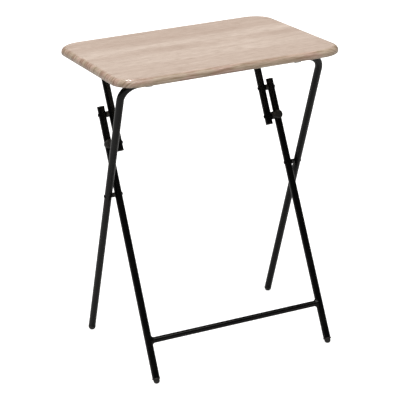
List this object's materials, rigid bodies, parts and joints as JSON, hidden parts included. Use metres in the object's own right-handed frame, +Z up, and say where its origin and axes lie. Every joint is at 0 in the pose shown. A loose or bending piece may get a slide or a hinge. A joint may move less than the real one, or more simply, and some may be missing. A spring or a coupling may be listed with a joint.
{
  "type": "folding tray table",
  "caption": "Small folding table: a rounded wood-look board on crossing black tube legs that hinge and fold flat underneath it.",
  "frame": {"origin": "on the floor, under the middle of the tabletop", "axes": "+X to the right along the tabletop's long side, +Y to the rear, +Z up"},
  "size_m": [0.5, 0.393, 0.664],
  "materials": {
    "oak_foil_board": "wood-grain foil on fibreboard, satin",
    "black_paint": "glossy black powder coat",
    "black_plastic": "moulded, satin",
    "zinc_steel": "zinc plated",
    "rivet_steel": "blackened steel"
  },
  "bodies": {
    "tabletop": {"tabletop": "oak_foil_board", "hinge_bracket_front_left": "zinc_steel", "hinge_bracket_front_right": "zinc_steel", "hinge_bracket_rear_left": "zinc_steel", "hinge_bracket_rear_right": "zinc_steel", "bracket_screw_front_left_front": "zinc_steel", "bracket_screw_front_left_rear": "zinc_steel", "bracket_screw_front_right_front": "zinc_steel", "bracket_screw_front_right_rear": "zinc_steel", "bracket_screw_rear_left_front": "zinc_steel", "bracket_screw_rear_left_rear": "zinc_steel", "bracket_screw_rear_right_front": "zinc_steel", "bracket_screw_rear_right_rear": "zinc_steel"},
    "rear_legs": {"rear_leg_frame": "black_paint", "rear_foot_left": "black_plastic", "rear_foot_right": "black_plastic", "scissor_rivet_outer_left": "rivet_steel", "scissor_rivet_outer_right": "rivet_steel", "scissor_washer_outer_left": "black_plastic", "scissor_washer_outer_right": "black_plastic"},
    "upper_links": {"upper_link_frame": "black_paint", "link_tail_plug_left": "black_plastic", "link_tail_plug_right": "black_plastic", "snap_clip_left": "black_plastic", "snap_clip_right": "black_plastic", "clip_rivet_left": "rivet_steel", "clip_rivet_right": "rivet_steel", "knee_rivet_left": "rivet_steel", "knee_rivet_right": "rivet_steel", "knee_washer_left": "black_plastic", "knee_washer_right": "black_plastic"},
    "front_legs": {"front_leg_left": "black_paint", "front_leg_right": "black_paint", "front_crossbar": "black_paint", "front_foot_left": "black_plastic", "front_foot_right": "black_plastic", "leg_top_plug_left": "black_plastic", "leg_top_plug_right": "black_plastic", "scissor_rivet_inner_left": "rivet_steel", "scissor_rivet_inner_right": "rivet_steel", "scissor_washer_inner_left": "black_plastic", "scissor_washer_inner_right": "black_plastic"}
  },
  "joints": [
    {"name": "rear_legs_fold", "type": "hinge", "parent": "tabletop", "child": "rear_legs", "pos_m": [0, -0.132, 0.639], "axis": [1, 0, 0], "range_deg": [0, 62.81]},
    {"name": "upper_links_fold", "type": "hinge", "parent": "tabletop", "child": "upper_links", "pos_m": [0, 0.1132, 0.639], "axis": [1, 0, 0], "range_deg": [-66.03, 0]},
    {"name": "front_legs_knee", "type": "hinge", "parent": "upper_links", "child": "front_legs", "pos_m": [0, 0.06578, 0.5293], "axis": [1, 0, 0], "range_deg": [0, 177.76]}
  ],
  "couplings": [
    {"joint": "upper_links_fold", "follows": "rear_legs_fold", "ratio": -1.0511},
    {"joint": "front_legs_knee", "follows": "rear_legs_fold", "ratio": 2.83}
  ]
}
